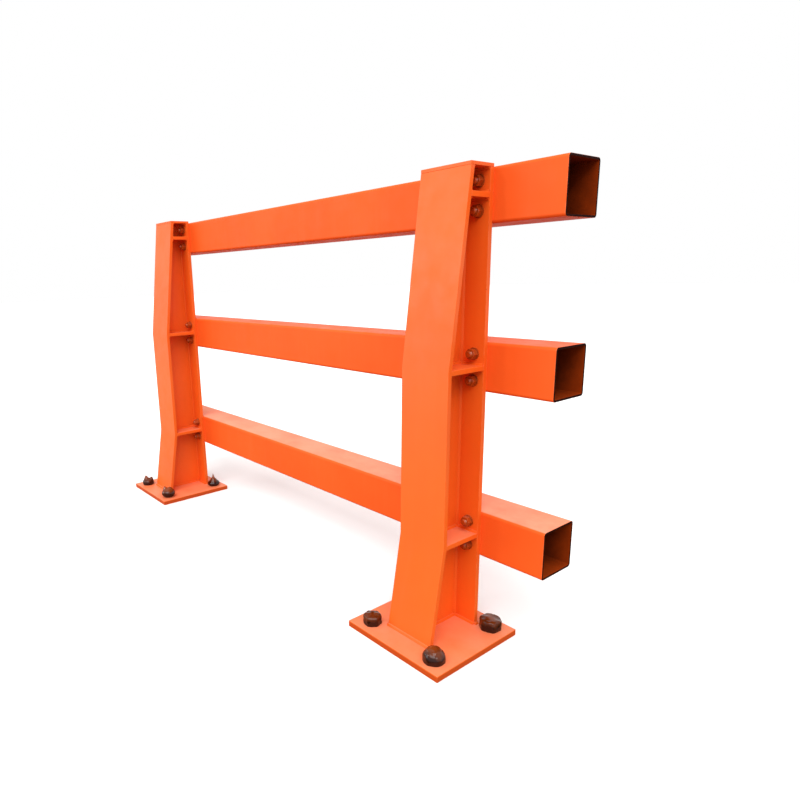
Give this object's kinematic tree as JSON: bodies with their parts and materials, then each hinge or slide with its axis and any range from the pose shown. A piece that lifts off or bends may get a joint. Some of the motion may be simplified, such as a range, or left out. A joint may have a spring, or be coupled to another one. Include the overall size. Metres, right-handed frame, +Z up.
{
  "type": "highway guardrail section",
  "caption": "Steel bridge guardrail bay: box rails bolted to waisted plate posts on anchored base plates.",
  "frame": {"origin": "under the base plate of post A, on the deck, in the plane where the rails meet the post", "axes": "+X along the rails from post A to post B, +Y from the posts towards the traffic, +Z up"},
  "size_m": [2, 0.379, 1.146],
  "materials": {
    "rail_paint": "satin orange paint on hollow section",
    "post_paint": "satin orange paint on welded plate",
    "bolt_paint": "orange paint over bolts and nuts",
    "anchor_coat": "glossy dark brown protective coat"
  },
  "bodies": {
    "root": {"rail_top": "rail_paint", "rail_middle": "rail_paint", "rail_bottom": "rail_paint", "base_plate_a": "post_paint", "front_flange_a": "post_paint", "rear_flange_a": "post_paint", "web_a": "post_paint", "cap_plate_a": "post_paint", "stiffeners_upper_a": "post_paint", "stiffeners_middle_a": "post_paint", "stiffeners_lower_a": "post_paint", "anchor_studs_a": "anchor_coat", "anchor_washers_a": "anchor_coat", "anchor_nuts_a": "anchor_coat", "rail_bolts_a": "bolt_paint", "rail_washers_a": "bolt_paint", "rail_nuts_a": "bolt_paint", "base_plate_b": "post_paint", "front_flange_b": "post_paint", "rear_flange_b": "post_paint", "web_b": "post_paint", "cap_plate_b": "post_paint", "stiffeners_upper_b": "post_paint", "stiffeners_middle_b": "post_paint", "stiffeners_lower_b": "post_paint", "anchor_studs_b": "anchor_coat", "anchor_washers_b": "anchor_coat", "anchor_nuts_b": "anchor_coat", "rail_bolts_b": "bolt_paint", "rail_washers_b": "bolt_paint", "rail_nuts_b": "bolt_paint"}
  },
  "joints": []
}
